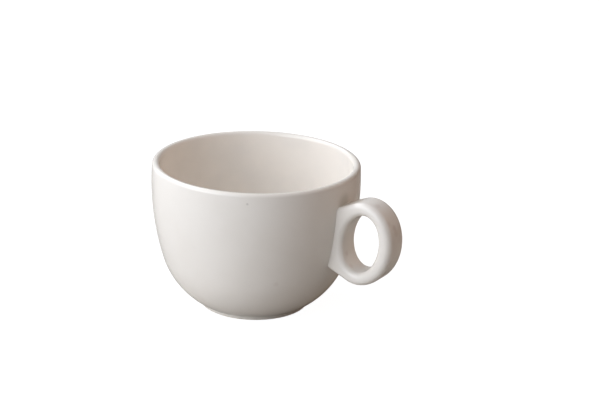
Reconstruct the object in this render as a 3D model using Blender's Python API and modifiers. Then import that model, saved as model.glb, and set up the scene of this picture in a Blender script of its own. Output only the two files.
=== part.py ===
"""Stackable latte cup: a thick-walled glazed bowl on a low foot ring, with a ring handle luted to its wall.

Metres, +Z up. The bowl is turned about the empty cup_axis and the handle stands out from it along +X.
The origin is the middle of the cup's footprint, on the plane that the cup rests on.
"""

from math import acos, asin, cos, hypot, pi, radians, sin, sqrt

import bmesh
import bpy

# Bowl: two tangent arcs outside, belly and heel, and a wall of one thickness that the lip rounds off
BELLY_RADIUS = 0.0500
BELLY_HEIGHT = 0.0617
BELLY_ARC = 0.1320
HEEL_ARC = 0.0395
HEEL_START = radians(16.3)
HEIGHT = 0.0713
WALL = 0.0036

# Inside floor and foot ring
FLOOR = 0.0044
FLOOR_ARC = 0.0270
FOOT_RADIUS = 0.0263
FOOT_WIDTH = 0.0042
FOOT_RECESS = 0.0018
FOOT_ROUND = 0.0005

# Ring handle: two ovals in one upright plane, leaning outwards, and an outline that runs straight
# from the outer oval to the wall
RING_STANDOFF = 0.0119
RING_HEIGHT = 0.0442
RING_HALF_DEPTH = 0.0163
RING_HALF_HEIGHT = 0.0204
HOLE_HALF_DEPTH = 0.0093
HOLE_HALF_HEIGHT = 0.0143
RING_LEAN = radians(10.9)
UPPER_LEAVES = radians(118.5)
LOWER_LEAVES = radians(-99.2)
HANDLE_WIDTH = 0.0140
HANDLE_ROUND = 0.0026

# Luting slip between them, with the clearance that each pair of facing surfaces keeps
SLIP = 0.0005
SLIP_BEAD = 0.0003
GAP = 0.0003

# Facets
TURN_STEPS = 72
OVAL_STEPS = 40
ARC_STEP = radians(7)
LIP_STEP = radians(22.5)
EDGE_STEPS = 2
SHARP_ANGLE = radians(40)
WELD = 0.00001

GLAZE_COLOUR = (0.80, 0.78, 0.75, 1)
SLIP_COLOUR = (0.78, 0.75, 0.71, 1)
GLAZE_ROUGHNESS = 0.15

# Centres of the belly and heel arcs, as (radius, height)
belly_centre = (BELLY_RADIUS - BELLY_ARC, BELLY_HEIGHT)
heel_centre = (
    belly_centre[0] + (BELLY_ARC - HEEL_ARC) * cos(HEEL_START),
    belly_centre[1] - (BELLY_ARC - HEEL_ARC) * sin(HEEL_START),
)
ring_centre = (BELLY_RADIUS + RING_STANDOFF, RING_HEIGHT)
ring_reach = ring_centre[0] + hypot(RING_HALF_DEPTH * cos(RING_LEAN), RING_HALF_HEIGHT * sin(RING_LEAN))


def clear_scene():
    for old in list(bpy.data.objects):
        bpy.data.objects.remove(old, do_unlink=True)


def new_collection(name):
    collection = bpy.data.collections.new(name)
    bpy.context.scene.collection.children.link(collection)
    return collection


def glaze(name, colour):
    material = bpy.data.materials.new(name)
    material.use_nodes = True
    shader = material.node_tree.nodes["Principled BSDF"]
    shader.inputs["Base Color"].default_value = colour
    shader.inputs["Roughness"].default_value = GLAZE_ROUGHNESS
    shader.inputs["Metallic"].default_value = 0
    return material


def arc(centre, radius, start, end, step=ARC_STEP):
    """Points from one angle to another, in steps no wider than the one given."""
    count = max(2, round(abs(end - start) / step))
    angles = [start + (end - start) * i / count for i in range(count + 1)]
    return [(centre[0] + radius * cos(a), centre[1] + radius * sin(a)) for a in angles]


def lip_points():
    """Half circle over the wall, from its inside face to its outside face."""
    middle = BELLY_ARC - WALL / 2
    tilt = asin((HEIGHT - WALL / 2 - BELLY_HEIGHT) / middle)
    centre = (belly_centre[0] + middle * cos(tilt), belly_centre[1] + middle * sin(tilt))
    return tilt, arc(centre, WALL / 2, tilt + pi, tilt, LIP_STEP)


def inside_points(lip_tilt):
    """Floor, floor arc and inside wall, from the cup's axis up to the lip."""
    floor_height = FOOT_RECESS + FLOOR
    wall_arc = BELLY_ARC - WALL
    rise = belly_centre[1] - floor_height - FLOOR_ARC
    run = sqrt((wall_arc - FLOOR_ARC) ** 2 - rise**2)
    floor_centre = (belly_centre[0] + run, floor_height + FLOOR_ARC)
    meet = -asin(rise / (wall_arc - FLOOR_ARC))
    floor = arc(floor_centre, FLOOR_ARC, -pi / 2, meet)
    wall = arc(belly_centre, wall_arc, meet, lip_tilt, ARC_STEP / 2)
    return [(0, floor_height)] + floor + wall[1:-1]


def outer_wall(growth, top):
    """Belly and heel arcs, grown outwards, from an angle above the belly down to the foot ring."""
    foot_angle = acos((FOOT_RADIUS - heel_centre[0]) / HEEL_ARC)
    belly = arc(belly_centre, BELLY_ARC + growth, top, -HEEL_START, ARC_STEP / 2)
    heel = arc(heel_centre, HEEL_ARC + growth, -HEEL_START, -foot_angle)
    return belly + heel[1:]


def foot_points():
    """Foot ring with rounded edges, then the recess inside it, in to the axis."""
    inner = FOOT_RADIUS - FOOT_WIDTH
    outer_edge = arc((FOOT_RADIUS - FOOT_ROUND, FOOT_ROUND), FOOT_ROUND, 0, -pi / 2, pi / 4)
    inner_edge = arc((inner + FOOT_ROUND, FOOT_ROUND), FOOT_ROUND, -pi / 2, -pi, pi / 4)
    corner = FOOT_RECESS - FOOT_ROUND
    recess = arc((inner - corner, FOOT_ROUND), corner, 0, pi / 2, pi / 6)
    return outer_edge + inner_edge + recess[1:] + [(0, FOOT_RECESS)]


def bowl_profile():
    lip_tilt, lip = lip_points()
    return inside_points(lip_tilt) + lip + outer_wall(0, lip_tilt)[1:] + foot_points()


def grown_profile(growth):
    """The bowl as a solid block, its wall grown outwards and closed to the axis at top and bottom."""
    wall = outer_wall(growth, 0)
    wall = [(wall[0][0], HEIGHT)] + wall
    return [(0, HEIGHT)] + wall + [(0, wall[-1][1])]


def turned(name, profile, collection, axis):
    """A profile in the XZ plane, running down its outer side, turned about Z."""
    mesh = bpy.data.meshes.new(name)
    edges = [(i, i + 1) for i in range(len(profile) - 1)]
    mesh.from_pydata([(r, 0, z) for r, z in profile], edges, [])
    piece = bpy.data.objects.new(name, mesh)
    collection.objects.link(piece)
    piece.parent = axis
    screw = piece.modifiers.new("Turn", "SCREW")
    screw.steps = TURN_STEPS
    screw.render_steps = TURN_STEPS
    screw.use_merge_vertices = True
    screw.merge_threshold = WELD
    screw.use_smooth_shade = True
    return piece


def in_ring(depth, height):
    """A point of the ring's own leaning frame, as (radius, height) of the cup."""
    return (
        ring_centre[0] + depth * cos(RING_LEAN) + height * sin(RING_LEAN),
        ring_centre[1] - depth * sin(RING_LEAN) + height * cos(RING_LEAN),
    )


def oval(half_depth, half_height, start, end):
    angles = [start + (end - start) * i / OVAL_STEPS for i in range(OVAL_STEPS + 1)]
    return [in_ring(half_depth * cos(a), half_height * sin(a)) for a in angles]


def root_end(angle, grow):
    """End of the straight run that leaves the outer oval at this angle, well inside the wall."""
    half_depth = RING_HALF_DEPTH + grow
    half_height = RING_HALF_HEIGHT + grow
    onward = 1 if angle > 0 else -1
    return in_ring(
        half_depth * (cos(angle) - onward * sin(angle)),
        half_height * (sin(angle) + onward * cos(angle)),
    )


def handle_outline(grow=0):
    """Outer oval, from its underside round to its top, and the straight runs to the wall."""
    ring = oval(RING_HALF_DEPTH + grow, RING_HALF_HEIGHT + grow, LOWER_LEAVES, UPPER_LEAVES)
    return ring + [root_end(UPPER_LEAVES, grow), root_end(LOWER_LEAVES, grow)]


def hole_outline():
    """Finger hole, run round the other way than the outline it is cut from."""
    return oval(HOLE_HALF_DEPTH, HOLE_HALF_HEIGHT, 2 * pi, 0)[:-1]


def upright_plate(name, outlines, width, edge_round, collection, axis):
    """Flat outlines in the XZ plane, filled, given a width along Y and rounded edges, as a mesh."""
    curve = bpy.data.curves.new(name, "CURVE")
    curve.dimensions = "2D"
    curve.fill_mode = "BOTH"
    curve.extrude = width / 2 - edge_round
    curve.bevel_depth = edge_round
    curve.bevel_resolution = EDGE_STEPS
    curve.offset = -edge_round
    for outline in outlines:
        spline = curve.splines.new("POLY")
        spline.points.add(len(outline) - 1)
        spline.use_cyclic_u = True
        for point, (r, z) in zip(spline.points, outline):
            point.co = (r, z, 0, 1)
    drawn = bpy.data.objects.new(name + "_outline", curve)
    collection.objects.link(drawn)
    graph = bpy.context.evaluated_depsgraph_get()
    mesh = bpy.data.meshes.new_from_object(drawn.evaluated_get(graph))
    bpy.data.objects.remove(drawn, do_unlink=True)
    welded = bmesh.new()
    welded.from_mesh(mesh)
    bmesh.ops.remove_doubles(welded, verts=welded.verts, dist=WELD)
    welded.to_mesh(mesh)
    welded.free()
    mesh.shade_smooth()
    mesh.set_sharp_from_angle(angle=SHARP_ANGLE)
    piece = bpy.data.objects.new(name, mesh)
    collection.objects.link(piece)
    piece.parent = axis
    piece.rotation_euler = (pi / 2, 0, 0)
    return piece


def boolean(piece, cutter, operation):
    cutter.hide_render = True
    cutter.display_type = "WIRE"
    cut = piece.modifiers.new(operation.title(), "BOOLEAN")
    cut.operation = operation
    cut.solver = "EXACT"
    cut.object = cutter


clear_scene()
cup = new_collection("stackable_latte_cup")
cutters = new_collection("cutters")
cup_axis = bpy.data.objects.new("cup_axis", None)
cup_axis.location.x = (BELLY_RADIUS - ring_reach) / 2
cup.objects.link(cup_axis)

body = turned("cup_body", bowl_profile(), cup, cup_axis)
body.data.materials.append(glaze("body_glaze", GLAZE_COLOUR))

slip_inside = turned("slip_inside", grown_profile(GAP), cutters, cup_axis)
slip_outside = turned("slip_outside", grown_profile(GAP + SLIP), cutters, cup_axis)
root_seat = turned("root_seat", grown_profile(GAP + SLIP + GAP), cutters, cup_axis)

handle = upright_plate(
    "handle", [handle_outline(), hole_outline()], HANDLE_WIDTH, HANDLE_ROUND, cup, cup_axis
)
boolean(handle, root_seat, "DIFFERENCE")
handle.data.materials.append(glaze("handle_glaze", GLAZE_COLOUR))

slip = upright_plate(
    "luting_slip",
    [handle_outline(SLIP_BEAD)],
    HANDLE_WIDTH + 2 * SLIP_BEAD,
    HANDLE_ROUND + SLIP_BEAD,
    cup,
    cup_axis,
)
boolean(slip, slip_outside, "INTERSECT")
boolean(slip, slip_inside, "DIFFERENCE")
slip.data.materials.append(glaze("slip_glaze", SLIP_COLOUR))
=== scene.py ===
"""Looks of the stackable latte cup: fine glazed meshes, studio light and the photographed view.

Metres, +Z up. The bowl, the ring handle and the slip that joins them are modelled about the bowl's
own axis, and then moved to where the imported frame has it.
"""

from math import acos, asin, atan2, ceil, cos, hypot, pi, radians, sin, sqrt

import bmesh
import bpy
from mathutils import Matrix, Vector


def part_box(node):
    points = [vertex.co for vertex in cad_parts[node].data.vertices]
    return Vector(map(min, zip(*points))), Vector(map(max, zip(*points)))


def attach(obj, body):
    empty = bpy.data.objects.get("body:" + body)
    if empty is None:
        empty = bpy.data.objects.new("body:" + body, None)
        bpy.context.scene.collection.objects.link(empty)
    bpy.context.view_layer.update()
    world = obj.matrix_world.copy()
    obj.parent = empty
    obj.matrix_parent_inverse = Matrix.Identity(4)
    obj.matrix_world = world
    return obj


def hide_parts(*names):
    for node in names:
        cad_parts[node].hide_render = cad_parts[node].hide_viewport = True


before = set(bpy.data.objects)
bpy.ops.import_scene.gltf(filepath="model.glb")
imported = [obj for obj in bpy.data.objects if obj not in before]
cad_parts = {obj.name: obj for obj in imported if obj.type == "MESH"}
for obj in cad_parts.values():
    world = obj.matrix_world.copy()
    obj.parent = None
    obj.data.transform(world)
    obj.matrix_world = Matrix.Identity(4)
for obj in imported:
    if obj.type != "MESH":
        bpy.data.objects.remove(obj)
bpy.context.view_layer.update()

# The bowl's place and its two main sizes, from the frame
body_low, body_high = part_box("cup_body")
AXIS_X = (body_low.x + body_high.x) / 2
BELLY_RADIUS = (body_high.y - body_low.y) / 2
HEIGHT = body_high.z

# Bowl: belly and heel arcs outside, a wall of one thickness, a full round lip
BELLY_HEIGHT = 0.0617
BELLY_ARC = 0.1320
HEEL_ARC = 0.0395
HEEL_START = radians(16.3)
WALL = 0.0036

# Inside floor and foot ring
FLOOR = 0.0044
FLOOR_ARC = 0.0270
FOOT_RADIUS = 0.0263
FOOT_WIDTH = 0.0042
FOOT_RECESS = 0.0018
FOOT_ROUND = 0.0005

# Ring handle: two leaning ovals and straight runs to the wall, which the root just clears
RING_STANDOFF = 0.0119
RING_HEIGHT = 0.0442
RING_HALF_DEPTH = 0.0163
RING_HALF_HEIGHT = 0.0204
HOLE_HALF_DEPTH = 0.0093
HOLE_HALF_HEIGHT = 0.0143
RING_LEAN = radians(10.9)
UPPER_LEAVES = radians(118.5)
LOWER_LEAVES = radians(-99.2)
HANDLE_WIDTH = 0.0140
ROOT_CLEAR = 0.00005

# Rounding of the handle's edges at its root, on the outside of the ring and in the finger hole, and
# the angle of the ring over which the first grows into the second
ROOT_ROUND = 0.0022
RING_ROUND = 0.0032
HOLE_ROUND = 0.0028
ROUND_GROWS = radians(50)

# Concave fillet of slip round the handle's root, its two edges sunk into handle and wall
SLIP_FILLET = 0.00025
SLIP_SUNK = 0.00003

# Fineness of the meshes
CHORD = 0.0011
FINE_CHORD = 0.00022
LEAST_ARC_STEPS = 4
FLAT_STEPS = 8
TURN_STEPS = 240
OVAL_POINTS = 150
RUN_POINTS = 14
EDGE_STEPS = 8
HALVINGS = 50
SHARP_ANGLE = radians(50)
WELD = 0.000002

# Colours of the glaze, its marks, its painted bounce light and painted shade, and the bare clay
GLAZE = (0.90, 0.86, 0.81, 1)
GLAZE_POOLED = (0.885, 0.843, 0.79, 1)
# Painted bounce light: a lighter, warmer copy of the glaze for surfaces that face the bowl's axis
GLAZE_INSIDE_PAINTED_BOUNCE = (0.925, 0.874, 0.812, 1)
GLAZE_THIN = (0.90, 0.855, 0.795, 1)
# Painted shade: a darker, neutral copy of the glaze for the wall just above the handle's root
PAINTED_JOINT_SHADE = (0.50, 0.485, 0.42, 1)
SPECK = (0.30, 0.26, 0.23, 1)
BLUSH = (0.55, 0.42, 0.38, 1)
CLAY = (0.72, 0.65, 0.56, 1)
CLAY_DARK = (0.62, 0.55, 0.46, 1)

# Fired glaze: its gloss, slow waves and fine peel, and the noise levels between which it pools
GLAZE_IOR = 1.5
ROUGHNESS = (0.05, 0.10)
WAVE_SIZE = 0.014
WAVE_DEPTH = 0.000012
PEEL_SIZE = 0.0016
PEEL_DEPTH = 0.0000006
CLOUD_SIZE = 0.018
CLOUD_LEVELS = (0.35, 0.7)

# Fine specks, and the share of their places that stays clean
SPECK_SPACING = 0.011
SPECK_SIZE = 0.00016
CLEAN_SHARE = 0.6

# The glaze stops unevenly a little above the foot ring's bearing face, and is thin up to a height
GLAZE_STOPS = 0.0006
STOP_FADES = 0.0002
STOP_WANDERS = 0.0005
WANDER_SIZE = 0.004
THIN_UP_TO = 0.0022

# Grit and gloss of the bare clay
GRIT_SIZE = 0.0007
GRIT_DEPTH = 0.00006
CLAY_ROUGHNESS = 0.75

# How far a surface faces away from the bowl's axis, from its inside to its outside, and how far one
# faces sideways, from the handle's band to its rounded edge and from that edge to its flat face
INSIDE_TO_OUTSIDE = (-0.4, 0.3)
BAND_TO_EDGE = (0.15, 0.6)
EDGE_TO_FACE = (0.75, 0.99)
EDGE_THINNESS = 0.6

# Soft marks in the glaze and one patch of painted shade above the handle's root: place, size,
# strength and colour. On the bowl the place is the degrees round from the handle and the height, on
# the handle a point. They fade between two shares of size
BOWL_MARKS = (
    ((-60.63, 0.0668), 0.0008, 0.30, SPECK),
    ((-43.4, 0.0258), 0.0018, 0.12, BLUSH),
    # painted shade on the wall just above the handle's root, where the handle shades it
    ((-1.5, 0.0613), 0.0060, 0.50, PAINTED_JOINT_SHADE),
)
HANDLE_MARKS = (
    ((0.0626, -0.0008, 0.0544), 0.0022, 0.32, BLUSH),
    ((0.0635, -0.0003, 0.0518), 0.0024, 0.20, BLUSH),
    ((0.0613, -0.0037, 0.0570), 0.0020, 0.14, BLUSH),
    ((0.0541, -0.0017, 0.0635), 0.0022, 0.18, BLUSH),
    ((0.0389, -0.0023, 0.0369), 0.0018, 0.20, BLUSH),
    ((0.0420, -0.0031, 0.0316), 0.0020, 0.20, BLUSH),
)
MARK_FADES = (0.2, 1.0)

# Camera: its turn round the bowl's axis, dip and roll, its place from that axis, and its lens in mm
CAMERA_TURN = radians(32.19)
CAMERA_DIP = radians(19.33)
CAMERA_ROLL = radians(1.65)
CAMERA_ASIDE = 0.02116
CAMERA_AWAY = 0.75491
CAMERA_HEIGHT = 0.31688
CAMERA_LENS = 99.9
SENSOR = 36

# Soft boxes: name, degrees to the right of the camera and up, size in metres, power and colour.
# They fade from their middle to their edge, which is half their size away
SOFT_BOXES = (
    ("key_box", -54, 23, 2.4, 65.1, (0.91, 0.945, 1.0)),
    ("back_box", -130, 46, 1.5, 30.5, (0.91, 0.945, 1.0)),
    ("right_fill", 95, 33, 2.4, 14.0, (1.0, 0.73, 0.57)),
)
BOX_DISTANCE = 1.2
BOX_MIDDLE = (0.5, 0.5, 0)
BOX_FADES = (0.1, 0.5)

# Room: white to the camera, dimmer where the glaze mirrors it, and the faint light that it gives
WHITE = (1, 1, 1, 1)
ROOM_MIRRORED = (0.4, 0.4, 0.4, 1)
ROOM_LIGHT = (0.01, 0.01, 0.01, 1)

# Floor: the white that it shows and the part of it that takes the shadow, and the colour that the
# glaze mirrors and that it throws back onto the cup
FLOOR_REACH = 3
FLOOR_CLEAR = 0.00005
FLOOR_WHITE = 0.97
FLOOR_SHADE = (0.15, 0.15, 0.15, 1)
FLOOR_COLOUR = (0.50, 0.47, 0.43, 1)

belly_centre = Vector((BELLY_RADIUS - BELLY_ARC, BELLY_HEIGHT))
heel_centre = belly_centre + (BELLY_ARC - HEEL_ARC) * Vector((cos(HEEL_START), -sin(HEEL_START)))
ring_centre = Vector((BELLY_RADIUS + RING_STANDOFF, RING_HEIGHT))
lean = Matrix.Rotation(-RING_LEAN, 2)


# Node trees
def node_group(name, kind, inputs, outputs):
    """An empty node group with its sockets, and the sockets that its inputs come from."""
    tree = bpy.data.node_groups.new(name, kind)
    for way, sockets in (("INPUT", inputs), ("OUTPUT", outputs)):
        for label, value in sockets.items():
            tree.interface.new_socket(label, in_out=way, socket_type="NodeSocket" + value)
    return tree, tree.nodes.new("NodeGroupInput").outputs


def add(tree, kind, inputs=None, **settings):
    """A new node with its settings, and its inputs set or linked by their names or places."""
    node = tree.nodes.new(kind)
    for name, value in settings.items():
        setattr(node, name, value)
    for key, value in (inputs or {}).items():
        if isinstance(value, bpy.types.NodeSocket):
            tree.links.new(value, node.inputs[key])
        else:
            node.inputs[key].default_value = value
    return node


def calc(tree, operation, a, b=0.0):
    return add(tree, "ShaderNodeMath", {0: a, 1: b}, operation=operation).outputs[0]


def inverse(tree, mask):
    return calc(tree, "SUBTRACT", 1, mask)


def vector_calc(tree, operation, a, b=(0, 0, 0)):
    """Vector arithmetic. A distance or a dot product comes out as a value."""
    node = add(tree, "ShaderNodeVectorMath", {0: a, 1: b}, operation=operation)
    return node.outputs["Value" if operation in ("DISTANCE", "DOT_PRODUCT") else "Vector"]


def ramp(tree, value, low, high):
    """0 below one value, 1 above the other, smooth between them."""
    node = add(
        tree,
        "ShaderNodeMapRange",
        {"Value": value, "From Min": low, "From Max": high},
        interpolation_type="SMOOTHSTEP",
    )
    return node.outputs["Result"]


def blend(tree, share, first, second):
    """A colour between two, by a mask. Places 6, 7 and 2 are the node's sockets for colours."""
    node = add(tree, "ShaderNodeMix", {0: share, 6: first, 7: second}, data_type="RGBA")
    return node.outputs[2]


# Bowl
def arc(centre, radius, start, end, chord=CHORD):
    """Points from one angle to another, about a chord's length apart."""
    count = max(LEAST_ARC_STEPS, ceil(radius * abs(end - start) / chord))
    angles = [start + (end - start) * i / count for i in range(count + 1)]
    return [(centre[0] + radius * cos(a), centre[1] + radius * sin(a)) for a in angles]


def run(start, end, count):
    """Points of a straight run, both ends included."""
    return [Vector(start).lerp(Vector(end), i / count) for i in range(count + 1)]


def lip_points():
    """The wall's tilt at the lip, and the lip's half circle from inside to outside."""
    middle = BELLY_ARC - WALL / 2
    tilt = asin((HEIGHT - WALL / 2 - BELLY_HEIGHT) / middle)
    centre = belly_centre + middle * Vector((cos(tilt), sin(tilt)))
    return tilt, arc(centre, WALL / 2, tilt + pi, tilt, FINE_CHORD)


def inside_points(lip_tilt):
    """Floor, floor arc and inside wall, from the bowl's axis up to the lip."""
    floor_height = FOOT_RECESS + FLOOR
    wall_arc = BELLY_ARC - WALL
    rise = belly_centre.y - floor_height - FLOOR_ARC
    across = sqrt((wall_arc - FLOOR_ARC) ** 2 - rise**2)
    floor_centre = (belly_centre.x + across, floor_height + FLOOR_ARC)
    meet = -asin(rise / (wall_arc - FLOOR_ARC))
    flat = run((0, floor_height), (floor_centre[0], floor_height), FLAT_STEPS)
    floor_arc = arc(floor_centre, FLOOR_ARC, -pi / 2, meet)
    wall = arc(belly_centre, wall_arc, meet, lip_tilt)
    return flat[:-1] + floor_arc + wall[1:-1]


def outer_wall(growth, top):
    """Belly and heel arcs, grown outwards, from an angle above the belly down to the foot ring."""
    foot_angle = acos((FOOT_RADIUS - heel_centre.x) / HEEL_ARC)
    belly = arc(belly_centre, BELLY_ARC + growth, top, -HEEL_START)
    return belly + arc(heel_centre, HEEL_ARC + growth, -HEEL_START, -foot_angle)[1:]


def foot_points():
    """Foot ring with rounded edges, then the recess inside it, in to the axis."""
    inner = FOOT_RADIUS - FOOT_WIDTH
    corner = FOOT_RECESS - FOOT_ROUND
    outer_middle = (FOOT_RADIUS - FOOT_ROUND, FOOT_ROUND)
    inner_middle = (inner + FOOT_ROUND, FOOT_ROUND)
    outer_edge = arc(outer_middle, FOOT_ROUND, 0, -pi / 2, FINE_CHORD)
    inner_edge = arc(inner_middle, FOOT_ROUND, -pi / 2, -pi, FINE_CHORD)
    recess = arc((inner - corner, FOOT_ROUND), corner, 0, pi / 2, FINE_CHORD)
    ground = run((inner - corner, FOOT_RECESS), (0, FOOT_RECESS), FLAT_STEPS)
    return outer_edge + inner_edge + recess[1:] + ground[1:]


def bowl_profile():
    lip_tilt, lip = lip_points()
    return inside_points(lip_tilt) + lip + outer_wall(0, lip_tilt)[1:] + foot_points()


def block_profile(growth):
    """The bowl without its hollow, grown outwards, to cut the handle's root with."""
    wall = outer_wall(growth, 0)
    return [(0, HEIGHT), (wall[0][0], HEIGHT)] + wall + [(0, wall[-1][1])]


def turning_tree():
    """Geometry nodes that turn a profile about Z.

    A grid with a row for each of its points and a column for each step is wrapped round the axis.
    """
    tree, given = node_group(
        "turned_on_the_wheel",
        "GeometryNodeTree",
        {"Profile": "Geometry", "Steps": "Int", "Weld": "Float", "Glaze": "Material"},
        {"Ware": "Geometry"},
    )

    def whole(operation, a, b):
        return add(tree, "FunctionNodeIntegerMath", {0: a, 1: b}, operation=operation).outputs[0]

    size = add(tree, "GeometryNodeAttributeDomainSize", {"Geometry": given["Profile"]})
    rows = size.outputs["Point Count"]
    columns = whole("ADD", given["Steps"], 1)
    grid = add(tree, "GeometryNodeMeshGrid", {"Vertices X": rows, "Vertices Y": columns})
    index = add(tree, "GeometryNodeInputIndex").outputs[0]
    step = calc(tree, "DIVIDE", 2 * pi, given["Steps"])
    angle = calc(tree, "MULTIPLY", whole("MODULO", index, columns), step)
    point = add(
        tree,
        "GeometryNodeSampleIndex",
        {
            "Geometry": given["Profile"],
            "Value": add(tree, "GeometryNodeInputPosition").outputs[0],
            "Index": whole("DIVIDE_FLOOR", index, columns),
        },
        data_type="FLOAT_VECTOR",
    )
    turned = add(
        tree,
        "ShaderNodeVectorRotate",
        {"Vector": point.outputs[0], "Angle": angle},
        rotation_type="Z_AXIS",
    )
    ware = grid.outputs["Mesh"]
    for kind, inputs in (
        ("SetPosition", {"Position": turned.outputs[0]}),
        ("MergeByDistance", {"Distance": given["Weld"]}),
        ("SetShadeSmooth", {}),
        ("RealizeInstances", {}),
        ("SetMaterial", {"Material": given["Glaze"]}),
    ):
        ware = add(tree, "GeometryNode" + kind, {"Geometry": ware, **inputs}).outputs[0]
    add(tree, "NodeGroupOutput", {"Ware": ware})
    return tree


def set_input(modifier, name, value):
    """Sets a geometry nodes input, which Blender keeps under the socket's identifier."""
    for item in modifier.node_group.interface.items_tree:
        if item.item_type == "SOCKET" and item.in_out == "INPUT" and item.name == name:
            modifier[item.identifier] = value


def bake(piece):
    """Turns a piece's modifiers into its plain mesh."""
    graph = bpy.context.evaluated_depsgraph_get()
    mesh = bpy.data.meshes.new_from_object(piece.evaluated_get(graph))
    piece.modifiers.clear()
    piece.data = mesh
    return piece


def new_piece(name, data):
    piece = bpy.data.objects.new(name, data)
    bpy.context.scene.collection.objects.link(piece)
    return piece


def turn(name, profile, tree, glaze):
    """A profile, running down its outer side, turned about Z."""
    mesh = bpy.data.meshes.new(name)
    edges = [(i, i + 1) for i in range(len(profile) - 1)]
    mesh.from_pydata([(r, 0, z) for r, z in profile], edges, [])
    piece = new_piece(name, mesh)
    wheel = piece.modifiers.new("Turn", "NODES")
    wheel.node_group = tree
    set_input(wheel, "Steps", TURN_STEPS)
    set_input(wheel, "Weld", WELD)
    set_input(wheel, "Glaze", glaze)
    return bake(piece)


# Handle
def oval_at(angle, half_depth, half_height):
    """A point of a leaning oval, as (radius, height) of the bowl, and the oval's outward normal."""
    place = ring_centre + lean @ Vector((half_depth * cos(angle), half_height * sin(angle)))
    normal = lean @ Vector((cos(angle) / half_depth, sin(angle) / half_height))
    return place, normal.normalized()


def leaving_run(angle):
    """Where the outline leaves the outer oval, its direction to the wall and its outward normal."""
    start, normal = oval_at(angle, RING_HALF_DEPTH, RING_HALF_HEIGHT)
    onward = 1 if angle > 0 else -1
    return start, Vector((-normal.y, normal.x)) * onward, normal


def wall_at(height):
    """Radius of the bowl's outside at a height, and the slope of its normal."""
    centre, radius = belly_centre, BELLY_ARC
    if height < belly_centre.y - BELLY_ARC * sin(HEEL_START):
        centre, radius = heel_centre, HEEL_ARC
    slope = asin((height - centre.y) / radius)
    return centre.x + radius * cos(slope), slope


def meet_wall(start, direction, offset):
    """Where a line in an upright plane, this far from the bowl's axis, runs into the wall."""
    near, far = 0, BELLY_RADIUS / 2
    for _ in range(HALVINGS):
        middle = (near + far) / 2
        at = start + direction * middle
        if hypot(at.x, offset) > wall_at(at.y)[0]:
            near = middle
        else:
            far = middle
    return start + direction * near


def ring_round(angle):
    """Rounding of the outer edge at an angle of the ring, least where it leaves for the wall."""
    share = min(1, (angle - LOWER_LEAVES) / ROUND_GROWS, (UPPER_LEAVES - angle) / ROUND_GROWS)
    return ROOT_ROUND + (RING_ROUND - ROOT_ROUND) * share**2 * (3 - 2 * share)


def handle_outlines():
    """Outer outline and finger hole, matched point for point.

    Each point has its place, its normal out of the handle and the rounding of its edge. The
    outline's back lies inside the wall, and has no normals because no edge is rounded there.
    """
    span = UPPER_LEAVES - LOWER_LEAVES
    angles = [LOWER_LEAVES + span * i / OVAL_POINTS for i in range(OVAL_POINTS + 1)]
    outer = [(*oval_at(a, RING_HALF_DEPTH, RING_HALF_HEIGHT), ring_round(a)) for a in angles]
    upper, upper_way, upper_normal = leaving_run(UPPER_LEAVES)
    lower, lower_way, lower_normal = leaving_run(LOWER_LEAVES)
    upper_end = meet_wall(upper, upper_way, 0) + upper_way * WALL
    lower_end = meet_wall(lower, lower_way, 0) + lower_way * WALL
    inset = Vector((-WALL, 0))
    upper_back = upper_end + upper_way * WALL + inset
    lower_back = lower_end + lower_way * WALL + inset
    for places, normal in (
        (run(upper, upper_end, RUN_POINTS)[1:], upper_normal),
        (run(upper_back, lower_back, 2 * RUN_POINTS), Vector((0, 0))),
        (run(lower_end, lower, RUN_POINTS)[:-1], lower_normal),
    ):
        outer += [(place, normal, ROOT_ROUND) for place in places]
    hole = []
    for place, _, _ in outer:
        depth, height = lean.transposed() @ (place - ring_centre)
        around = atan2(height / HOLE_HALF_HEIGHT, depth / HOLE_HALF_DEPTH)
        edge, outward = oval_at(around, HOLE_HALF_DEPTH, HOLE_HALF_HEIGHT)
        hole.append((edge, -outward, HOLE_ROUND))
    return outer, hole


def skin(name, loops):
    """A closed ring of faces through closed loops of points, the last one joined to the first."""
    shape = bmesh.new()
    rings = [[shape.verts.new(point) for point in loop] for loop in loops]
    count = len(loops[0])
    for k, ring in enumerate(rings):
        following = rings[(k + 1) % len(rings)]
        for i in range(count):
            j = (i + 1) % count
            shape.faces.new((ring[i], ring[j], following[j], following[i]))
    bmesh.ops.recalc_face_normals(shape, faces=shape.faces)
    mesh = bpy.data.meshes.new(name)
    shape.to_mesh(mesh)
    shape.free()
    mesh.shade_smooth()
    return new_piece(name, mesh)


def edge_bends():
    """Angles over a rounded edge, from the outline to the flat face."""
    return [pi / 2 * i / EDGE_STEPS for i in range(EDGE_STEPS + 1)]


def edge_loop(outline, side, bend):
    """One line along the rounded edge of an outline, on one side of the handle."""
    loop = []
    for place, normal, edge_round in outline:
        at = place - normal * edge_round * (1 - cos(bend))
        y = side * (HANDLE_WIDTH / 2 - edge_round * (1 - sin(bend)))
        loop.append((at.x, y, at.y))
    return loop


def ring_handle(root_block, glaze):
    """The handle as a band between its outlines, with rounded edges, its root cut to the wall."""
    outer, hole = handle_outlines()
    rising = edge_bends()
    falling = rising[::-1]
    loops = []
    for outline, side, bends in (
        (outer, -1, rising),
        (hole, -1, falling),
        (hole, 1, rising),
        (outer, 1, falling),
    ):
        loops += [edge_loop(outline, side, bend) for bend in bends]
    piece = skin("ring_handle", loops)
    piece.data.materials.append(glaze)
    cut = piece.modifiers.new("Root", "BOOLEAN")
    cut.object = root_block
    bake(piece)
    piece.data.set_sharp_from_angle(angle=SHARP_ANGLE)
    return piece


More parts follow.
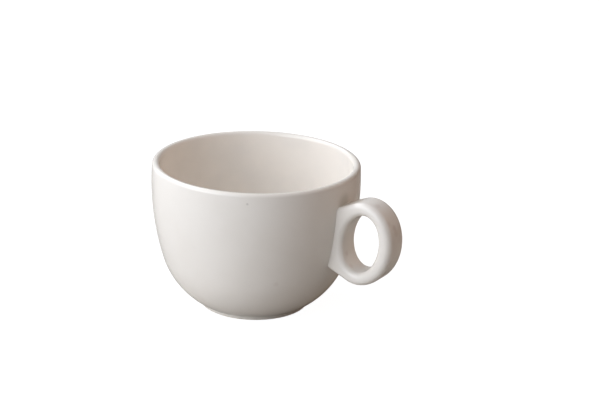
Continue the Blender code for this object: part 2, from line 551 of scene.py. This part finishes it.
# Slip
def root_loop():
    """The line round the handle's root on the wall, as points with the handle's outward normal."""
    flat = HANDLE_WIDTH / 2 - ROOT_ROUND
    runs = {"upper": leaving_run(UPPER_LEAVES), "lower": leaving_run(LOWER_LEAVES)}

    def on_edge(end, side, bend):
        start, way, outward = runs[end]
        y = side * (flat + ROOT_ROUND * sin(bend))
        at = meet_wall(start - outward * ROOT_ROUND * (1 - cos(bend)), way, y)
        normal = Vector((outward.x * cos(bend), side * sin(bend), outward.y * cos(bend)))
        return Vector((at.x, y, at.y)), normal

    def on_top(end, y):
        start, way, outward = runs[end]
        at = meet_wall(start, way, y)
        return Vector((at.x, y, at.y)), Vector((outward.x, 0, outward.y))

    def on_face(side, share):
        lower, upper = (on_edge(end, side, pi / 2)[0].z for end in ("lower", "upper"))
        height = lower + (upper - lower) * share
        y = side * HANDLE_WIDTH / 2
        return Vector((sqrt(wall_at(height)[0] ** 2 - y**2), y, height)), Vector((0, side, 0))

    quarter = edge_bends()
    widths = [-flat + 2 * flat * i / RUN_POINTS for i in range(1, RUN_POINTS)]
    shares = [i / (2 * RUN_POINTS) for i in range(1, 2 * RUN_POINTS)]
    loop = [on_face(-1, share) for share in shares]
    loop += [on_edge("upper", -1, bend) for bend in quarter[::-1]]
    loop += [on_top("upper", y) for y in widths]
    loop += [on_edge("upper", 1, bend) for bend in quarter]
    loop += [on_face(1, share) for share in shares[::-1]]
    loop += [on_edge("lower", 1, bend) for bend in quarter[::-1]]
    loop += [on_top("lower", y) for y in widths[::-1]]
    loop += [on_edge("lower", -1, bend) for bend in quarter]
    return loop


def towards(direction, aim):
    """A direction, turned round if it points away from its aim."""
    return direction if direction.dot(aim) >= 0 else -direction


def slip_fillet(glaze):
    """A concave fillet from the handle's sides to the wall, all round the root."""
    shares = [i / EDGE_STEPS for i in range(EDGE_STEPS + 1)]
    loops = [[] for _ in range(len(shares) + 1)]
    for corner, side_normal in root_loop():
        slope = wall_at(corner.z)[1]
        around = Vector((corner.x, corner.y, 0)).normalized()
        wall_normal = around * cos(slope) + Vector((0, 0, sin(slope)))
        along = side_normal.cross(wall_normal).normalized()
        up_side = towards(along.cross(side_normal), wall_normal)
        over_wall = towards(along.cross(wall_normal), side_normal)
        high = corner + up_side * SLIP_FILLET - side_normal * SLIP_SUNK
        low = corner + over_wall * SLIP_FILLET
        reach = wall_at(low.z)[0] / hypot(low.x, low.y)
        low = Vector((low.x * reach, low.y * reach, low.z)) - wall_normal * SLIP_SUNK
        for k, t in enumerate(shares):
            loops[k].append(high.lerp(corner, t).lerp(corner.lerp(low, t), t))
        loops[-1].append(corner - (side_normal + wall_normal) * SLIP_FILLET / 2)
    piece = skin("luting_slip_fillet", loops)
    piece.data.materials.append(glaze)
    return piece


# Glaze
def own_place(tree):
    return add(tree, "ShaderNodeTexCoord").outputs["Object"]


def own_normal(tree):
    return add(tree, "ShaderNodeTexCoord").outputs["Normal"]


def noise(tree, size, detail=2.0):
    """Noise from 0 to 1 with lumps of about this size in metres."""
    inputs = {"Vector": own_place(tree), "Scale": calc(tree, "DIVIDE", 1, size), "Detail": detail}
    return add(tree, "ShaderNodeTexNoise", inputs).outputs["Fac"]


def glaze_surface_group():
    """Height in metres of a fired glaze: slow waves where it ran, and a fine peel."""
    tree, given = node_group(
        "glaze_surface",
        "ShaderNodeTree",
        {"Wave Size": "Float", "Wave Depth": "Float", "Peel Size": "Float", "Peel Depth": "Float"},
        {"Height": "Float"},
    )
    waves = calc(tree, "MULTIPLY", noise(tree, given["Wave Size"]), given["Wave Depth"])
    peel = calc(tree, "MULTIPLY", noise(tree, given["Peel Size"], detail=1.0), given["Peel Depth"])
    add(tree, "NodeGroupOutput", {"Height": calc(tree, "ADD", waves, peel)})
    return tree


def glaze_tone_group():
    """Colour and gloss of a glaze that pools in clouds, thins on edges and holds a few specks."""
    tree, given = node_group(
        "glaze_tone",
        "ShaderNodeTree",
        {
            "Colour": "Color",
            "Pooled": "Color",
            "Thin": "Color",
            "Thinness": "Float",
            "Cloud Size": "Float",
            "Speck": "Color",
            "Speck Spacing": "Float",
            "Speck Size": "Float",
        },
        {"Colour": "Color", "Roughness": "Float"},
    )
    clouds = noise(tree, given["Cloud Size"], detail=3.0)
    pooled = blend(tree, ramp(tree, clouds, *CLOUD_LEVELS), given["Colour"], given["Pooled"])
    thinned = blend(tree, given["Thinness"], pooled, given["Thin"])
    scale = calc(tree, "DIVIDE", 1, given["Speck Spacing"])
    cells = add(tree, "ShaderNodeTexVoronoi", {"Vector": own_place(tree), "Scale": scale}).outputs
    reach = calc(tree, "DIVIDE", given["Speck Size"], given["Speck Spacing"])
    dot = inverse(tree, ramp(tree, cells["Distance"], 0.0, reach))
    chance = add(tree, "ShaderNodeSeparateColor", {0: cells["Color"]}).outputs[0]
    kept = calc(tree, "GREATER_THAN", chance, CLEAN_SHARE)
    speckled = blend(tree, calc(tree, "MULTIPLY", dot, kept), thinned, given["Speck"])
    low, high = ROUGHNESS
    gloss = add(tree, "ShaderNodeMapRange", {"Value": clouds, "To Min": low, "To Max": high})
    add(tree, "NodeGroupOutput", {"Colour": speckled, "Roughness": gloss.outputs["Result"]})
    return tree


def mark_group():
    """Mask of one soft round mark at a place on the piece."""
    tree, given = node_group(
        "mark",
        "ShaderNodeTree",
        {"Place": "Vector", "Size": "Float", "Strength": "Float"},
        {"Mask": "Float"},
    )
    away = vector_calc(tree, "DISTANCE", own_place(tree), given["Place"])
    share = calc(tree, "DIVIDE", away, given["Size"])
    round_mark = inverse(tree, ramp(tree, share, *MARK_FADES))
    add(tree, "NodeGroupOutput", {"Mask": calc(tree, "MULTIPLY", round_mark, given["Strength"])})
    return tree


def use_group(tree, group, values):
    return add(tree, "ShaderNodeGroup", values, node_tree=group).outputs


def new_glaze(name):
    material = bpy.data.materials.new(name)
    material.use_nodes = True
    shader = material.node_tree.nodes["Principled BSDF"]
    shader.inputs["IOR"].default_value = GLAZE_IOR
    return material, material.node_tree, shader


def lay_glaze(tree, shader, thinness, marks, bare=None, colour=GLAZE):
    """Joins the shared glaze to a material's shader, with its marks and any bare clay."""
    tone = use_group(
        tree,
        glaze_tone,
        {
            "Colour": colour,
            "Pooled": GLAZE_POOLED,
            "Thin": GLAZE_THIN,
            "Thinness": thinness,
            "Cloud Size": CLOUD_SIZE,
            "Speck": SPECK,
            "Speck Spacing": SPECK_SPACING,
            "Speck Size": SPECK_SIZE,
        },
    )
    surface = use_group(
        tree,
        glaze_surface,
        {
            "Wave Size": WAVE_SIZE,
            "Wave Depth": WAVE_DEPTH,
            "Peel Size": PEEL_SIZE,
            "Peel Depth": PEEL_DEPTH,
        },
    )
    colour, rough, height = tone["Colour"], tone["Roughness"], surface["Height"]
    for place, size, strength, shade in marks:
        mask = use_group(tree, mark, {"Place": place, "Size": size, "Strength": strength})["Mask"]
        colour = blend(tree, mask, colour, shade)
    if bare is not None:
        clay = noise(tree, GRIT_SIZE, detail=3.0)
        colour = blend(tree, bare, colour, blend(tree, clay, CLAY, CLAY_DARK))
        rough = calc(tree, "MAXIMUM", rough, calc(tree, "MULTIPLY", bare, CLAY_ROUGHNESS))
        grit = calc(tree, "MULTIPLY", calc(tree, "MULTIPLY", clay, bare), GRIT_DEPTH)
        height = calc(tree, "ADD", height, grit)
    bump = add(tree, "ShaderNodeBump", {"Strength": 1.0, "Distance": 1.0, "Height": height})
    tree.links.new(colour, shader.inputs["Base Color"])
    tree.links.new(rough, shader.inputs["Roughness"])
    tree.links.new(bump.outputs["Normal"], shader.inputs["Normal"])


def on_bowl(degrees, height):
    """A place on the bowl's outside, by its angle round from the handle and its height."""
    radius = wall_at(height)[0]
    angle = radians(degrees)
    return (AXIS_X + radius * cos(angle), radius * sin(angle), height)


def inside_mask(tree):
    """1 where the bowl's surface faces its own axis, 0 where it faces away."""
    from_axis = vector_calc(tree, "SUBTRACT", own_place(tree), (AXIS_X, 0, 0))
    level = vector_calc(tree, "MULTIPLY", from_axis, (1, 1, 0))
    outwards = vector_calc(tree, "NORMALIZE", level)
    facing = vector_calc(tree, "DOT_PRODUCT", own_normal(tree), outwards)
    return inverse(tree, ramp(tree, facing, *INSIDE_TO_OUTSIDE))


def bowl_glaze():
    """Glaze over all of the bowl but the foot's bearing ring, thin on the lip and above the ring."""
    material, tree, shader = new_glaze("body_glaze")
    height = add(tree, "ShaderNodeSeparateXYZ", {0: own_place(tree)}).outputs["Z"]
    wander = calc(tree, "MULTIPLY", noise(tree, WANDER_SIZE), STOP_WANDERS)
    level = calc(tree, "ADD", height, wander)
    bare = inverse(tree, ramp(tree, level, GLAZE_STOPS, GLAZE_STOPS + STOP_FADES))
    lip = ramp(tree, height, HEIGHT - WALL / 2, HEIGHT)
    heel = inverse(tree, ramp(tree, level, GLAZE_STOPS, THIN_UP_TO))
    marks = [(on_bowl(*place), *rest) for place, *rest in BOWL_MARKS]
    # Painted warm bounce light on the inside of the bowl
    inside_painted_bounce = blend(tree, inside_mask(tree), GLAZE, GLAZE_INSIDE_PAINTED_BOUNCE)
    lay_glaze(tree, shader, calc(tree, "MAXIMUM", lip, heel), marks, bare, inside_painted_bounce)
    return material


def edge_glaze(name, marks):
    """Glaze on the handle and its slip, thin where an edge is rounded."""
    material, tree, shader = new_glaze(name)
    sideways = add(tree, "ShaderNodeSeparateXYZ", {0: own_normal(tree)}).outputs["Y"]
    facing = calc(tree, "ABSOLUTE", sideways)
    off_band = ramp(tree, facing, *BAND_TO_EDGE)
    off_face = inverse(tree, ramp(tree, facing, *EDGE_TO_FACE))
    edge = calc(tree, "MULTIPLY", off_band, off_face)
    lay_glaze(tree, shader, calc(tree, "MULTIPLY", edge, EDGE_THINNESS), marks)
    return material


# View, light and stage
def photographed_view():
    right = Vector((cos(CAMERA_TURN), sin(CAMERA_TURN), 0))
    level = Vector((-sin(CAMERA_TURN), cos(CAMERA_TURN), 0))
    ahead = level * cos(CAMERA_DIP) - Vector((0, 0, sin(CAMERA_DIP)))
    up = level * sin(CAMERA_DIP) + Vector((0, 0, cos(CAMERA_DIP)))
    across = right * cos(CAMERA_ROLL) + up * sin(CAMERA_ROLL)
    upright = up * cos(CAMERA_ROLL) - right * sin(CAMERA_ROLL)
    place = right * CAMERA_ASIDE - level * CAMERA_AWAY + Vector((AXIS_X, 0, CAMERA_HEIGHT))
    data = bpy.data.cameras.new("view")
    data.sensor_width = SENSOR
    data.lens = CAMERA_LENS
    camera = new_piece("view", data)
    turned = Matrix((across, upright, -ahead)).transposed().to_4x4()
    camera.matrix_world = Matrix.Translation(place) @ turned
    bpy.context.scene.camera = camera


def soft_box(name, azimuth, elevation, size, power, colour):
    """A square lamp aimed at the cup, fading to its edge."""
    data = bpy.data.lights.new(name, "AREA")
    data.shape = "SQUARE"
    data.size = size
    data.energy = power
    data.color = colour
    data.use_nodes = True
    tree = data.node_tree
    place = add(tree, "ShaderNodeNewGeometry").outputs["Parametric"]
    fade = inverse(tree, ramp(tree, vector_calc(tree, "DISTANCE", place, BOX_MIDDLE), *BOX_FADES))
    tree.links.new(fade, tree.nodes["Emission"].inputs["Strength"])
    turned = CAMERA_TURN + radians(azimuth)
    raised = radians(elevation)
    away = Vector((sin(turned) * cos(raised), -cos(turned) * cos(raised), sin(raised)))
    box = new_piece(name, data)
    box.location = Vector((AXIS_X, 0, HEIGHT / 2)) + away * BOX_DISTANCE
    box.rotation_euler = (-away).to_track_quat("-Z", "Y").to_euler()


def seen_ray(tree):
    """1 on rays that show the background: from the camera, or off or through the glaze."""
    path = add(tree, "ShaderNodeLightPath").outputs
    mirrored = calc(tree, "MAXIMUM", path["Is Glossy Ray"], path["Is Transmission Ray"])
    return calc(tree, "MAXIMUM", path["Is Camera Ray"], mirrored)


def glossy_ray(tree):
    return add(tree, "ShaderNodeLightPath").outputs["Is Glossy Ray"]


def mix_shaders(tree, share, first, second):
    return add(tree, "ShaderNodeMixShader", {0: share, 1: first, 2: second}).outputs[0]


def floor():
    """A pale floor that shows white but for the cup's soft shadow."""
    mesh = bpy.data.meshes.new("floor")
    sides = ((-1, -1), (1, -1), (1, 1), (-1, 1))
    corners = [(x * FLOOR_REACH, y * FLOOR_REACH, -FLOOR_CLEAR) for x, y in sides]
    mesh.from_pydata(corners, [], [(0, 1, 2, 3)])
    material = bpy.data.materials.new("pale_floor")
    material.use_nodes = True
    tree = material.node_tree
    tree.nodes.clear()
    pale = add(tree, "ShaderNodeBsdfDiffuse", {"Color": FLOOR_COLOUR}).outputs[0]
    shadowed = add(tree, "ShaderNodeBsdfDiffuse", {"Color": FLOOR_SHADE}).outputs[0]
    white = add(tree, "ShaderNodeEmission", {"Color": WHITE, "Strength": FLOOR_WHITE}).outputs[0]
    plain = add(tree, "ShaderNodeAddShader", {0: shadowed, 1: white}).outputs[0]
    shown = mix_shaders(tree, glossy_ray(tree), plain, pale)
    either = mix_shaders(tree, seen_ray(tree), pale, shown)
    add(tree, "ShaderNodeOutputMaterial", {"Surface": either})
    mesh.materials.append(material)
    new_piece("floor", mesh)


def backdrop():
    """White all round behind the cup, dim where the glaze mirrors it, with a faint even light."""
    world = bpy.data.worlds.new("studio")
    world.use_nodes = True
    tree = world.node_tree
    shown = blend(tree, glossy_ray(tree), WHITE, ROOM_MIRRORED)
    either = blend(tree, seen_ray(tree), ROOM_LIGHT, shown)
    tree.links.new(either, tree.nodes["Background"].inputs["Color"])
    bpy.context.scene.world = world


bpy.context.scene.view_settings.view_transform = "Standard"

wheel = turning_tree()
glaze_surface = glaze_surface_group()
glaze_tone = glaze_tone_group()
mark = mark_group()
body_glaze = bowl_glaze()
handle_glaze = edge_glaze("handle_glaze", HANDLE_MARKS)
slip_glaze = edge_glaze("slip_glaze", ())

bowl = turn("glazed_bowl", bowl_profile(), wheel, body_glaze)
root_block = turn("root_block", block_profile(ROOT_CLEAR), wheel, body_glaze)
handle = ring_handle(root_block, handle_glaze)
bpy.data.objects.remove(root_block, do_unlink=True)
slip = slip_fillet(slip_glaze)

to_frame = Matrix.Translation((AXIS_X, 0, 0))
for piece, node, slot in (
    (bowl, "cup_body", "body_glaze"),
    (handle, "handle", "handle_glaze"),
    (slip, "luting_slip", "slip_glaze"),
):
    piece.data.transform(to_frame)
    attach(piece, "root")
    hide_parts(node)

photographed_view()
for box in SOFT_BOXES:
    soft_box(*box)
floor()
backdrop()
